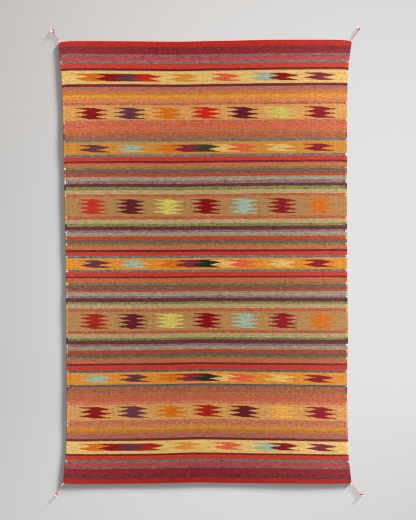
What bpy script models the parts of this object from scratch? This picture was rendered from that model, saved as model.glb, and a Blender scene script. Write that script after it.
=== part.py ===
"""A hand-woven wool blanket, laid flat on the surface.

One sheet of cloth, a cord twined along each of its two ends, and a knotted two-ply tassel at each corner.
Metres, +Z up, +Y towards the blanket's upper end, with the origin under the middle of the whole piece.
"""

import math
from collections import namedtuple

import bmesh
import bpy
from mathutils import Matrix, Vector

MM = 0.001
GAP = 0.3 * MM
WELD = 0.001 * MM

# Cloth: a weft-faced wool weave.
CLOTH_THICKNESS = 3.0 * MM
RIM_ROUNDING = 1.1 * MM
CLOTH_COLUMNS = 26
CLOTH_ROWS = 34

# A groove between the doubled edge warps and the rest of the cloth, along both sides.
GROOVE_INSET = 11.0 * MM
GROOVE_HALF_WIDTH = 1.6 * MM
GROOVE_LEVEL = 0.78

# Cord twined along each end of the cloth.
END_CORD_RADIUS = 1.4 * MM
END_CORD_INSET = 6.0 * MM

# Corner tassels: two plies twisted to a cord, then a knot, then the plies' free ends.
PLY_RADIUS = 0.8 * MM
PLY_SPREAD = 0.78
PLY_OUTLINE_POINTS = 12
TWIST_LENGTH = 9.0 * MM
TWIST_STEP = 1.2 * MM
KNOT_RING_RADIUS = 1.9 * MM
KNOT_STRAND_RADIUS = 1.35 * MM
KNOT_CORE_RADIUS = 2.6 * MM
KNOT_HEIGHT = KNOT_RING_RADIUS + KNOT_STRAND_RADIUS
KNOT_TILT = math.radians(28)
FREE_END_RADIUS = 1.15 * MM
FREE_END_POINTS = 5
# How far a tassel's cord runs along the end of the cloth before it turns outwards.
ROOT_RUN = 3.4 * MM

# The photographed outline, in mm from the middle of the blanket: how far an edge reaches at points along it.
# The sides draw in between the flared ends, and the ends dip at the corners.
Edge = namedtuple("Edge", "along reach")
LEFT_SIDE = (
    Edge(-691, 446.5),
    Edge(-650, 443.5),
    Edge(-600, 438.5),
    Edge(-520, 436.0),
    Edge(-350, 436.0),
    Edge(-200, 437.5),
    Edge(0, 438.5),
    Edge(150, 441.5),
    Edge(300, 444.5),
    Edge(450, 447.5),
    Edge(550, 450.5),
    Edge(600, 453.5),
    Edge(650, 458.0),
    Edge(691, 460.0),
)
RIGHT_SIDE = (
    Edge(-691, 452.0),
    Edge(-650, 447.5),
    Edge(-600, 442.5),
    Edge(-530, 440.5),
    Edge(-430, 438.5),
    Edge(-320, 439.0),
    Edge(-220, 441.5),
    Edge(-140, 440.0),
    Edge(0, 438.5),
    Edge(300, 438.0),
    Edge(550, 439.5),
    Edge(600, 442.0),
    Edge(650, 447.0),
    Edge(691, 453.0),
)
UPPER_END = (
    Edge(-460, 686.8),
    Edge(-425, 690.2),
    Edge(-250, 690.0),
    Edge(-80, 688.8),
    Edge(0, 690.6),
    Edge(100, 692.4),
    Edge(200, 694.6),
    Edge(390, 694.8),
    Edge(430, 693.6),
    Edge(453, 690.2),
)
LOWER_END = (
    Edge(-447, 690.6),
    Edge(-400, 692.2),
    Edge(-200, 691.2),
    Edge(-80, 688.8),
    Edge(-20, 687.8),
    Edge(60, 689.0),
    Edge(200, 690.6),
    Edge(390, 691.4),
    Edge(430, 690.6),
    Edge(452, 691.0),
)
HALF_LENGTH = 691 * MM

# Each tassel as it lies, in mm from the middle of the blanket: the bends of its cord from the corner
# outwards, its knot, and the tips of the free ends beyond the knot.
Tassel = namedtuple("Tassel", "bends knot tips")
TASSELS = {
    "top_left": Tassel(
        bends=((-460.6, 687.4), (-463.4, 693.4), (-468, 700), (-474, 709)),
        knot=(-478, 717),
        tips=((-477, 728), (-485, 727), (-491, 721)),
    ),
    "top_right": Tassel(
        bends=((453.2, 691.4), (457, 698), (463, 707.5), (469, 716.5)),
        knot=(472, 722),
        tips=((478, 731), (470, 733)),
    ),
    "bottom_left": Tassel(
        bends=((-448.4, -692), (-452, -698.5), (-457.5, -707), (-464, -716)),
        knot=(-469, -723),
        tips=((-477, -726), (-467, -731), (-473, -733)),
    ),
    "bottom_right": Tassel(
        bends=((453.4, -692.2), (459, -700), (467, -711), (476, -720)),
        knot=(481, -725),
        tips=((491, -726), (488, -733)),
    ),
}

CLOTH_COLOUR = (0.42, 0.17, 0.08, 1)
END_CORD_COLOUR = (0.48, 0.03, 0.015, 1)
TASSEL_COLOUR = (0.62, 0.22, 0.17, 1)


def reach_at(edge, along):
    """How far an edge reaches at a point along it, in metres, on a smooth curve through its rows."""
    rows = [Edge(row.along * MM, row.reach * MM) for row in edge]
    along = min(max(along, rows[0].along), rows[-1].along)
    last = next(i for i in range(1, len(rows)) if along <= rows[i].along)
    start, end = rows[last - 1], rows[last]
    before, after = rows[max(last - 2, 0)], rows[min(last + 1, len(rows) - 1)]
    span = end.along - start.along
    slope_in = (end.reach - before.reach) / (end.along - before.along) * span
    slope_out = (after.reach - start.reach) / (after.along - start.along) * span
    t = (along - start.along) / span
    rise = end.reach - start.reach
    return smooth_step(start.reach, rise, slope_in, slope_out, t)


def smooth_step(start, rise, slope_in, slope_out, t):
    """The value at t, from 0 to 1, on the cubic that rises from start with the given slopes at its ends."""
    square = 3 * rise - 2 * slope_in - slope_out
    cube = slope_in + slope_out - 2 * rise
    return start + slope_in * t + square * t**2 + cube * t**3


def material(name, colour):
    """A rough woollen material of one colour."""
    made = bpy.data.materials.new(name)
    made.use_nodes = True
    shader = made.node_tree.nodes["Principled BSDF"]
    shader.inputs["Base Color"].default_value = colour
    shader.inputs["Roughness"].default_value = 0.92
    shader.inputs["Metallic"].default_value = 0.0
    return made


def add_object(name, data, collection):
    """A new object for a mesh or curve, in the collection."""
    made = bpy.data.objects.new(name, data)
    collection.objects.link(made)
    return made


def to_mesh(source, name, collection):
    """The source's evaluated shape as a welded mesh object. The source is removed."""
    evaluated = source.evaluated_get(bpy.context.evaluated_depsgraph_get())
    mesh = bpy.data.meshes.new_from_object(evaluated)
    made = add_object(name, mesh, collection)
    made.matrix_world = source.matrix_world.copy()
    bpy.data.objects.remove(source)
    bm = bmesh.new()
    bm.from_mesh(mesh)
    bmesh.ops.remove_doubles(bm, verts=bm.verts, dist=WELD)
    bmesh.ops.recalc_face_normals(bm, faces=bm.faces)
    bm.to_mesh(mesh)
    bm.free()
    return made


def column_places():
    """The columns next to the two sides, left to right, each as its side and its inset in metres."""
    edge = [0.0, GROOVE_INSET - GROOVE_HALF_WIDTH, GROOVE_INSET, GROOVE_INSET + GROOVE_HALF_WIDTH]
    return [("left", inset) for inset in edge] + [("right", inset) for inset in reversed(edge)]


def cloth_x(column, y):
    """The x of a column of the cloth's grid at a height y on the blanket."""
    left, right = -reach_at(LEFT_SIDE, y), reach_at(RIGHT_SIDE, y)
    places = column_places()
    half = len(places) // 2
    if column < half:
        return left + places[column][1]
    if column > CLOTH_COLUMNS - half:
        return right - places[column - CLOTH_COLUMNS - 1][1]
    inner_left, inner_right = left + places[half - 1][1], right - places[half][1]
    share = (column - half + 1) / (CLOTH_COLUMNS - 2 * half + 2)
    return inner_left + (inner_right - inner_left) * share


def make_cloth(collection):
    """The cloth: a flat grid drawn out to the photographed outline, thickened upwards, with rounded rims."""
    bm = bmesh.new()
    bmesh.ops.create_grid(bm, x_segments=CLOTH_COLUMNS, y_segments=CLOTH_ROWS, size=1.0)
    thickness = bm.verts.layers.deform.verify()
    cord_room = 2 * END_CORD_RADIUS + GAP
    half = len(column_places()) // 2
    for vert in bm.verts:
        column = round((vert.co.x + 1) / 2 * CLOTH_COLUMNS)
        share = (vert.co.y + 1) / 2
        x = cloth_x(column, (2 * share - 1) * HALF_LENGTH)
        low, high = -reach_at(LOWER_END, x) + cord_room, reach_at(UPPER_END, x) - cord_room
        vert.co = (x, low + (high - low) * share, 0)
        in_groove = column in (half - 2, CLOTH_COLUMNS - half + 2)
        vert[thickness][0] = GROOVE_LEVEL if in_groove else 1.0
    mesh = bpy.data.meshes.new("blanket_cloth")
    bm.to_mesh(mesh)
    bm.free()
    cloth = add_object("blanket_cloth", mesh, collection)
    cloth.vertex_groups.new(name="thickness")
    thick = cloth.modifiers.new("Wool thickness", "SOLIDIFY")
    thick.thickness = CLOTH_THICKNESS
    thick.offset = 1.0
    thick.vertex_group = "thickness"
    rims = cloth.modifiers.new("Rounded rims", "BEVEL")
    rims.width = RIM_ROUNDING
    rims.segments = 2
    rims.limit_method = "ANGLE"
    rims.angle_limit = math.radians(60)
    cloth.data.materials.append(material("Woven wool", CLOTH_COLOUR))
    return cloth


def end_cord_tips(end):
    """The x of an end cord's two tips, a little in from the corners, where the tassels' cords take over."""
    return end[0].along * MM + END_CORD_INSET, end[-1].along * MM - END_CORD_INSET


def make_end_cord(name, end, side, collection):
    """The cord twined along one end of the cloth, side +1 for the upper end and -1 for the lower one."""
    curve = bpy.data.curves.new(name, "CURVE")
    curve.dimensions = "3D"
    curve.bevel_depth = END_CORD_RADIUS
    curve.bevel_resolution = 2
    curve.use_fill_caps = True
    spline = curve.splines.new("POLY")
    spline.points.add(CLOTH_COLUMNS)
    first, last = end_cord_tips(end)
    for column, point in enumerate(spline.points):
        x = min(max(cloth_x(column, side * HALF_LENGTH), first), last)
        point.co = (x, side * (reach_at(end, x) - END_CORD_RADIUS), END_CORD_RADIUS, 1)
    cord = to_mesh(add_object(f"{name}_line", curve, collection), name, collection)
    cord.data.shade_smooth()
    cord.data.set_sharp_from_angle(angle=math.radians(50))
    cord.data.materials.append(material(f"{name} wool", END_CORD_COLOUR))
    return cord


def make_ply_outline(collection):
    """The outline of two plies side by side, as a closed curve to sweep along a twisted cord."""
    outline = bpy.data.curves.new("ply_outline", "CURVE")
    outline.dimensions = "2D"
    spline = outline.splines.new("POLY")
    spline.points.add(PLY_OUTLINE_POINTS - 1)
    spline.use_cyclic_u = True
    spread = PLY_SPREAD * PLY_RADIUS
    for i, point in enumerate(spline.points):
        angle = 2 * math.pi * i / PLY_OUTLINE_POINTS
        out = spread * abs(math.cos(angle)) + math.sqrt(PLY_RADIUS**2 - (spread * math.sin(angle)) ** 2)
        point.co = (out * math.cos(angle), out * math.sin(angle), 0, 1)
    guide = add_object("ply_outline", outline, collection)
    guide.hide_render = True
    guide.display_type = "WIRE"
    return guide


def spaced(points, step):
    """Points a step apart along the smooth line through the given ones."""
    bends = [Vector(p) for p in points]
    fine = []
    for i in range(len(bends) - 1):
        start, end = bends[i], bends[i + 1]
        before, after = bends[max(i - 1, 0)], bends[min(i + 2, len(bends) - 1)]
        length = (end - start).length
        slope_in = (end - before).normalized() * length
        slope_out = (after - start).normalized() * length
        count = max(2, round(length / step))
        fine += [smooth_step(start, end - start, slope_in, slope_out, k / count) for k in range(count)]
    return fine + [bends[-1]]


def make_twisted_cord(name, points, outline, collection):
    """Two plies twisted together along the points, as one closed mesh."""
    curve = bpy.data.curves.new(name, "CURVE")
    curve.dimensions = "3D"
    curve.twist_mode = "Z_UP"
    curve.bevel_mode = "OBJECT"
    curve.bevel_object = outline
    curve.use_fill_caps = True
    line = spaced(points, TWIST_STEP)
    spline = curve.splines.new("POLY")
    spline.points.add(len(line) - 1)
    run = 0.0
    for i, point in enumerate(spline.points):
        run += (line[i] - line[i - 1]).length if i else 0.0
        point.co = (*line[i], 1)
        point.tilt = 2 * math.pi * run / TWIST_LENGTH
    return to_mesh(add_object(f"{name}_line", curve, collection), name, collection)


def make_free_end(name, knot, tip, collection):
    """One four-sided free end, from inside the knot out to its tip on the surface."""
    curve = bpy.data.curves.new(name, "CURVE")
    curve.dimensions = "3D"
    curve.bevel_depth = FREE_END_RADIUS
    curve.bevel_resolution = 0
    curve.use_fill_caps = True
    spline = curve.splines.new("POLY")
    spline.points.add(FREE_END_POINTS - 1)
    start, end = Vector((*knot, KNOT_HEIGHT)), Vector((*tip, FREE_END_RADIUS))
    for i, point in enumerate(spline.points):
        share = i / (FREE_END_POINTS - 1)
        place = start.lerp(end, share)
        place.z = end.z + (start.z - end.z) * (1 - share) ** 2
        point.co = (*place, 1)
    return to_mesh(add_object(f"{name}_line", curve, collection), name, collection)


def make_knot_pieces(name, knot, heading, collection):
    """A core and the two crossing turns of cord that wrap it."""
    middle = Vector((*knot, KNOT_HEIGHT))
    bpy.ops.mesh.primitive_ico_sphere_add(subdivisions=2, radius=KNOT_CORE_RADIUS)
    core = bpy.context.object
    core.name = f"{name}_core"
    core.matrix_world = Matrix.Translation(middle) @ Matrix.Rotation(heading, 4, "Z")
    pieces = [core]
    for side in (-1, 1):
        bpy.ops.mesh.primitive_torus_add(
            major_segments=14,
            minor_segments=8,
            major_radius=KNOT_RING_RADIUS,
            minor_radius=KNOT_STRAND_RADIUS,
        )
        turn = bpy.context.object
        turn.name = f"{name}_turn_{'over' if side > 0 else 'under'}"
        standing = Matrix.Rotation(heading + side * KNOT_TILT, 4, "Z") @ Matrix.Rotation(math.pi / 2, 4, "Y")
        turn.matrix_world = Matrix.Translation(middle) @ standing
        pieces.append(turn)
    for piece in pieces:
        for owner in piece.users_collection:
            owner.objects.unlink(piece)
        collection.objects.link(piece)
    return pieces


def union(name, base, others, collection):
    """The base with the others joined to it, as one mesh object. All that went in is removed."""
    for other in others:
        join = base.modifiers.new(other.name, "BOOLEAN")
        join.operation = "UNION"
        join.solver = "MANIFOLD"
        join.object = other
    bpy.context.view_layer.update()
    made = to_mesh(base, name, collection)
    for other in others:
        bpy.data.objects.remove(other)
    return made


def make_tassel(place, row, outline, collection, cutters):
    """One corner tassel: twisted cord, knot and free ends, all one solid that rests on the surface."""
    name = f"corner_tassel_{place}"
    knot = Vector(row.knot) * MM
    bends = [Vector(bend) * MM for bend in row.bends]
    up, out = math.copysign(1, knot.y), math.copysign(1, knot.x)
    end = UPPER_END if up > 0 else LOWER_END
    cord_tip = end_cord_tips(end)[0 if out < 0 else 1]
    lying = (1 + PLY_SPREAD) * PLY_RADIUS
    line = []
    for x in (cord_tip + out * GAP, cord_tip + out * ROOT_RUN):
        line.append(Vector((x, up * (reach_at(end, x) - END_CORD_RADIUS), lying)))
    line += [Vector((*bend, lying)) for bend in bends]
    line.append(Vector((*knot, KNOT_HEIGHT)))
    cord = make_twisted_cord(f"{name}_cord", line, outline, cutters)
    along = knot - bends[-1]
    pieces = make_knot_pieces(name, knot, math.atan2(along.y, along.x), cutters)
    for i, tip in enumerate(row.tips):
        pieces.append(make_free_end(f"{name}_end_{i}", knot, Vector(tip) * MM, cutters))
    tassel = union(name, cord, pieces, collection)
    tassel.data.shade_smooth()
    tassel.data.set_sharp_from_angle(angle=math.radians(50))
    tassel.data.materials.append(material(f"{name} wool", TASSEL_COLOUR))
    return tassel


def main():
    for old in list(bpy.data.objects):
        bpy.data.objects.remove(old)
    blanket = bpy.data.collections.new("wool_blanket")
    cutters = bpy.data.collections.new("guides")
    bpy.context.scene.collection.children.link(blanket)
    bpy.context.scene.collection.children.link(cutters)
    make_cloth(blanket)
    make_end_cord("end_cord_top", UPPER_END, 1, blanket)
    make_end_cord("end_cord_bottom", LOWER_END, -1, blanket)
    outline = make_ply_outline(cutters)
    for place, row in TASSELS.items():
        make_tassel(place, row, outline, blanket, cutters)


main()
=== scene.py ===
# %% [markdown]
# # A hand-woven wool blanket
#
# This notebook dresses the plain solids of a wool blanket in the wool that the real one is made of. It is
# one sheet of weft-faced cloth: the crossways yarn is beaten down so tightly that it hides the lengthways
# warps, and each warp shows only as a rib. Stripes are a change of yarn, and the serrated lozenges are
# small areas of other yarns, laid in row by row.
#
# The solids come first. Everything below is placed in metres, with +Z up and the blanket flat.

# %% Load the solids
import math
import random
from collections import namedtuple

import bmesh
import bpy
import numpy as np
from mathutils import Matrix, Vector


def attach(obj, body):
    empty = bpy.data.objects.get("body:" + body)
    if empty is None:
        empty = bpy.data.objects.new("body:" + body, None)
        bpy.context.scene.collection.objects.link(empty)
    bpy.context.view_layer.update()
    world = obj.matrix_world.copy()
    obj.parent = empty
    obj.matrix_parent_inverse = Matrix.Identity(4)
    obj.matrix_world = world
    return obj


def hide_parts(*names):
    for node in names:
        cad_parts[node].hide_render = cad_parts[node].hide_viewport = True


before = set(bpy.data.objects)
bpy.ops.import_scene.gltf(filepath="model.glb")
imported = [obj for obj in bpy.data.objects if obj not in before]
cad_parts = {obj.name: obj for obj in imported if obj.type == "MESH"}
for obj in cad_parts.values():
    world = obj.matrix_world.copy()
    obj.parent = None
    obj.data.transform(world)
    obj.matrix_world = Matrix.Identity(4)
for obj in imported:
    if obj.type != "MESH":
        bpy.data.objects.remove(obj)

MM = 0.001
bpy.context.view_layer.update()
print("solids:", ", ".join(sorted(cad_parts)))

# %% [markdown]
# ## The camera
#
# The blanket is seen straight from above. An orthographic camera would do, but a real lens keeps the look
# of a photograph. So the height is worked out from the lens: a pixel covers 3.12 mm of the cloth, and the
# sensor's long side spans the picture's height.

# %% Put the camera above the blanket
PIXEL = 3.12 * MM
PICTURE_SIZE = (416, 520)
BLANKET_MIDDLE_IN_PICTURE = (206.5, 262.25)
LENS = 85.0
SENSOR = 36.0
CLOTH_THICKNESS = 3.0 * MM

camera_x = (PICTURE_SIZE[0] / 2 - BLANKET_MIDDLE_IN_PICTURE[0]) * PIXEL
camera_y = (BLANKET_MIDDLE_IN_PICTURE[1] - PICTURE_SIZE[1] / 2) * PIXEL
camera_height = PICTURE_SIZE[1] * PIXEL * LENS / SENSOR + CLOTH_THICKNESS

bpy.ops.object.select_all(action="DESELECT")
bpy.ops.object.camera_add(location=(camera_x, camera_y, camera_height))
camera = bpy.context.object
camera.name = "camera"
camera.data.lens = LENS
camera.data.sensor_width = SENSOR
camera.data.clip_end = 60.0
bpy.context.scene.camera = camera
bpy.context.scene.view_settings.view_transform = "Standard"
bpy.context.scene.cycles.filter_width = 1.1
print("camera height:", round(camera_height, 3), "m")

# %% [markdown]
# ## The outline of the cloth
#
# No hand-woven blanket is a true rectangle. The sides draw in as the weaver pulls the yarn, and the ends
# flare. Each edge is a few measured points with a smooth curve through them, the same ones that the solids
# were made from. A traced polygon would do, but it could not be changed.

# %% Describe the four edges
# Each pair is a place along the edge and how far the edge reaches there, both in mm from the middle.
LEFT_SIDE = (
    (-691, 446.5), (-650, 443.5), (-600, 438.5), (-520, 436.0), (-350, 436.0), (-200, 437.5), (0, 438.5),
    (150, 441.5), (300, 444.5), (450, 447.5), (550, 450.5), (600, 453.5), (650, 458.0), (691, 460.0),
)
RIGHT_SIDE = (
    (-691, 452.0), (-650, 447.5), (-600, 442.5), (-530, 440.5), (-430, 438.5), (-320, 439.0), (-220, 441.5),
    (-140, 440.0), (0, 438.5), (300, 438.0), (550, 439.5), (600, 442.0), (650, 447.0), (691, 453.0),
)
UPPER_END = (
    (-460, 686.8), (-425, 690.2), (-250, 690.0), (-80, 688.8), (0, 690.6), (100, 692.4), (200, 694.6),
    (390, 694.8), (430, 693.6), (453, 690.2),
)
LOWER_END = (
    (-447, 690.6), (-400, 692.2), (-200, 691.2), (-80, 688.8), (-20, 687.8), (60, 689.0), (200, 690.6),
    (390, 691.4), (430, 690.6), (452, 691.0),
)
HALF_LENGTH = 691 * MM
END_CORD_RADIUS = 1.4 * MM
END_CORD_INSET = 6.0 * MM
GAP = 0.3 * MM
CORD_ROOM = 1.5 * END_CORD_RADIUS


def cubic(start, end, slope_in, slope_out, t):
    """The value at t, from 0 to 1, on the cubic from start to end with the given slopes at its ends."""
    rise = end - start
    return start + slope_in * t + (3 * rise - 2 * slope_in - slope_out) * t**2 + (
        slope_in + slope_out - 2 * rise) * t**3


def reach_at(edge, along):
    """How far an edge reaches at places along it, in metres. The places may be one number or many."""
    rows = np.array(edge) * MM
    place, reach = rows[:, 0], rows[:, 1]
    along = np.clip(along, place[0], place[-1])
    last = np.clip(np.searchsorted(place, along), 1, len(place) - 1)
    first = last - 1
    before, after = np.maximum(first - 1, 0), np.minimum(last + 1, len(place) - 1)
    span = place[last] - place[first]
    slope_in = (reach[last] - reach[before]) / (place[last] - place[before]) * span
    slope_out = (reach[after] - reach[first]) / (place[after] - place[first]) * span
    return cubic(reach[first], reach[last], slope_in, slope_out, (along - place[first]) / span)


def sides_at(y):
    """Where the left and the right side of the cloth are, at a height."""
    return -reach_at(LEFT_SIDE, y), reach_at(RIGHT_SIDE, y)


def ends_at(x):
    """Where the cloth's lower and upper ends are, inside the end cords, at a place across."""
    return CORD_ROOM - reach_at(LOWER_END, x), reach_at(UPPER_END, x) - CORD_ROOM


print("the sides are", [round(float(side), 4) for side in sides_at(0)], "m across at the middle")

# %% [markdown]
# ## Warps and picks
#
# Weavers count a cloth in warps across and picks, the passes of the weft, along. A picture laid on a plane
# would blur its edges. Here the mesh has its columns on the ribs, and the pattern is looked up warp by warp
# and pick by pick, so its edges step as woven ones do. The two outer warps at each side are doubled, so
# they are wider, and a groove parts them from the rest.

# %% Count the warps and picks
WARP_PITCH = 4.0
EDGE_WARP_PITCH = 5.5
EDGE_WARPS = 2
MIDDLE_WARPS = 216
WARPS = MIDDLE_WARPS + 2 * EDGE_WARPS
PICK_PITCH = 0.85 * MM
CLOTH_LENGTH = 1.3825
PICKS = round(CLOTH_LENGTH / PICK_PITCH)
COLUMNS_PER_WARP = 4

side_widths = [EDGE_WARP_PITCH] * EDGE_WARPS
warp_widths = side_widths + [WARP_PITCH] * MIDDLE_WARPS + side_widths
warp_edges = np.concatenate([[0.0], np.cumsum(warp_widths)]) / sum(warp_widths)


def warp_at(x, y):
    """The warp count at a point of the cloth, from 0 at the left side."""
    left, right = sides_at(y)
    return float(np.interp((x - left) / (right - left), warp_edges, np.arange(WARPS + 1)))


print(WARPS, "warps and", PICKS, "picks")

# %% [markdown]
# ## The sway of the stripes
#
# The stripes aren't ruled lines. They rise and dip by a few millimetres, because the weft wasn't beaten
# evenly. A noise would give a random sway. A short table gives this blanket's own: how far in mm a stripe
# lies below a straight one, at five places across and some heights down the cloth.

# %% Describe the sway
Sway = namedtuple("Sway", "down left quarter middle three_quarters right")
SWAYS = (
    Sway(0.00, -2.1, -0.1, 0.3, 1.2, -0.1),
    Sway(0.04, -1.4, -0.3, 0.5, 1.4, -0.6),
    Sway(0.09, 0.0, -0.3, 0.3, 0.5, -1.1),
    Sway(0.15, 1.0, -0.6, -1.7, 0.7, -1.1),
    Sway(0.21, 0.9, -2.0, -2.3, 0.1, -2.7),
    Sway(0.27, 0.2, -1.6, -1.4, -1.1, -2.7),
    Sway(0.34, 0.0, -1.0, 0.2, -1.3, -1.7),
    Sway(0.42, 0.6, -0.7, 0.1, 0.4, -0.8),
    Sway(0.48, 0.6, -0.1, 0.6, 1.3, -0.4),
    Sway(0.54, 0.3, 0.7, 0.6, 0.6, -0.2),
    Sway(0.61, 0.0, 0.5, 0.1, 0.9, 1.2),
    Sway(0.68, 0.7, -0.1, -1.0, -0.4, -0.3),
    Sway(0.74, 0.7, -1.4, -1.8, -0.2, 1.7),
    Sway(0.80, 1.0, -1.6, -2.0, 0.2, 3.2),
    Sway(0.86, 2.2, -1.2, -2.3, 0.3, 3.7),
    Sway(0.92, 0.3, 0.3, -1.2, -0.1, 3.0),
    Sway(1.00, 0.0, 0.2, -0.1, -0.4, 2.2),
)
SMOOTHING_STEPS = 80
SMOOTHING_WINDOW = 9


def smooth(x, places, values):
    """Values at x on a line through the given ones that has no corners."""
    fine = np.linspace(places[0], places[-1], SMOOTHING_STEPS + 1)
    padded = np.pad(np.interp(fine, places, values), SMOOTHING_WINDOW // 2, mode="edge")
    window = np.hanning(SMOOTHING_WINDOW)
    return np.interp(x, fine, np.convolve(padded, window / window.sum(), mode="valid"))


def sway_at(across, down):
    """How far the stripes lie below straight ones, as a share of the length. Both are arrays of shares."""
    heights, *places = zip(*SWAYS)
    columns = np.stack([smooth(down, heights, np.array(place) * MM) for place in places])
    last = len(columns) - 1
    position = np.clip(across * last, 0, last - 0.001)
    whole = np.floor(position).astype(int)
    part = position - whole
    part = part * part * (3 - 2 * part)
    index = np.arange(len(down))
    return ((1 - part) * columns[whole, index] + part * columns[whole + 1, index]) / CLOTH_LENGTH


print("largest sway:", max(abs(value) for row in SWAYS for value in row[1:]), "mm")

# %% [markdown]
# ## The cloth
#
# The real cloth is a slab of wool about 3 mm thick whose face is ribbed by its warps. A plane with a bump
# texture would look ribbed from above but flat at its edges. So the ribs are real: a grid has four columns
# of faces to each warp, and its points are moved to the outline and lifted over the warps. The face also
# waves by a fraction of a millimetre, as cloth that has been folded and laid out does.

# %% Add a grid with a column for each part of a rib
RIM = CLOTH_THICKNESS / 2
RIM_INSETS = (0.0, 0.4 * MM, 1.2 * MM)
ROWS_BETWEEN_RIMS = 70


def row_shares():
    """The rows' places down the cloth, from 0 at the lower end to 1, close together at the rims."""
    rim = [inset / CLOTH_LENGTH for inset in RIM_INSETS]
    between = np.linspace(rim[-1], 1 - rim[-1], ROWS_BETWEEN_RIMS + 1)
    return np.concatenate([rim[:-1], between, [1 - share for share in reversed(rim[:-1])]])


def column_counts():
    """The columns' places across the cloth, in warps, with one more column in each rim."""
    even = np.arange(WARPS * COLUMNS_PER_WARP + 1) / COLUMNS_PER_WARP
    rim = RIM_INSETS[1] / MM / EDGE_WARP_PITCH
    return np.concatenate([[0.0, rim], even[1:-1], [WARPS - rim, WARPS]])


rows, columns = row_shares(), column_counts()
bpy.ops.object.select_all(action="DESELECT")
bpy.ops.mesh.primitive_grid_add(x_subdivisions=len(columns) - 1, y_subdivisions=len(rows) - 1, size=2)
cloth = bpy.context.object
cloth.name = "blanket_weave"
print(len(columns), "columns by", len(rows), "rows of points")

# %% Move its points to the outline and over the warps
RIB_HEIGHT = 0.42 * MM
GROOVE_DEPTH = 0.4 * MM
GROOVE_HALF_WIDTH = 0.5

# A wave's lengths across and along are in metres, and its height is in mm.
Wave = namedtuple("Wave", "across along phase height")
WAVES = (Wave(0.37, 1.1, 0.8, 0.22), Wave(-0.9, 0.26, 2.1, 0.16))
WAVES_MIDDLE = 0.55
SIDE_WAVE = Wave(0.44, 0.17, 0.0, 0.17)
SIDE_WAVE_POWER = 8

points = np.empty(len(cloth.data.vertices) * 3)
cloth.data.vertices.foreach_get("co", points)
points = points.reshape(-1, 3)
column = np.rint((points[:, 0] + 1) / 2 * (len(columns) - 1)).astype(int)
row = np.rint((points[:, 1] + 1) / 2 * (len(rows) - 1)).astype(int)
warp = columns[column]
up = rows[row]
across = np.interp(warp, np.arange(WARPS + 1), warp_edges)


def waving(x, y):
    """The slow waves of cloth that lies flat, with quicker ones at its sides."""
    height = WAVES_MIDDLE
    for wave in WAVES:
        height = height + wave.height * np.sin(2 * math.pi * (x / wave.across + y / wave.along) + wave.phase)
    at_side = np.clip(np.abs(x) / SIDE_WAVE.across, 0, 1) ** SIDE_WAVE_POWER
    return (height + SIDE_WAVE.height * (np.sin(2 * math.pi * y / SIDE_WAVE.along) * at_side)) * MM


def place_points():
    """Each point's x, y and z on the finished face."""
    left, right = sides_at((2 * up - 1) * HALF_LENGTH)
    x = left + (right - left) * across
    low, high = ends_at(x)
    y = low + (high - low) * up
    inset = np.minimum(np.minimum(across, 1 - across) * (right - left), np.minimum(y - low, high - y))
    inset = np.clip(inset, 0, RIM)
    rim_drop = RIM - np.sqrt(RIM**2 - (RIM - inset) ** 2)
    ribs = RIB_HEIGHT * (np.abs(np.sin(math.pi * warp)) - 1)
    to_groove = np.minimum(np.abs(warp - EDGE_WARPS), np.abs(warp - WARPS + EDGE_WARPS))
    groove = GROOVE_DEPTH * np.clip(1 - to_groove / GROOVE_HALF_WIDTH, 0, 1)
    inner = inset / RIM
    z = CLOTH_THICKNESS - rim_drop + (ribs - groove) * inner + waving(x, y)
    return np.stack([x, y, z], axis=1)


placed = place_points()
cloth.data.vertices.foreach_set("co", placed.ravel())
down = 1 - up - sway_at(across, 1 - up)
print("face between", round(placed[:, 2].min() / MM, 2), "and", round(placed[:, 2].max() / MM, 2), "mm high")

# %% Note each point's warp and pick on the mesh
weave_place = cloth.data.attributes.new("weave_place", "FLOAT_VECTOR", "POINT")
noted = np.stack([warp / WARPS, down, up * 0], axis=1)
weave_place.data.foreach_set("vector", noted.astype(np.float32).ravel())
cloth.data.update()
print("down the cloth, the picks run from", round(down.min(), 4), "to", round(down.max(), 4))

# %% Fold its rim under and close the underside
UNDERSIDE_INSET = 0.9 * MM
UNDERSIDE_LIFT = 0.35 * MM
HALF_WIDTH = 0.45
SMOOTH_BELOW = math.radians(65)

bpy.ops.object.mode_set(mode="EDIT")
bpy.ops.mesh.select_mode(type="EDGE")
bpy.ops.mesh.select_all(action="DESELECT")
bpy.ops.mesh.select_non_manifold(extend=False, use_wire=False, use_multi_face=False, use_non_contiguous=False)
bpy.ops.mesh.extrude_region_move(TRANSFORM_OT_translate={"value": (0, 0, UNDERSIDE_LIFT - RIM)})
bpy.ops.mesh.extrude_region_move(TRANSFORM_OT_translate={"value": (0, 0, -UNDERSIDE_LIFT)})
shrink = (1 - UNDERSIDE_INSET / HALF_WIDTH, 1 - UNDERSIDE_INSET / HALF_LENGTH, 1)
bpy.ops.transform.resize(value=shrink, center_override=(0, 0, 0))
bpy.ops.transform.resize(value=(1, 1, 0), center_override=(0, 0, 0))
bpy.ops.mesh.edge_face_add()
bpy.ops.object.mode_set(mode="OBJECT")
print(len(cloth.data.polygons), "faces with the underside closed")

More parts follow.
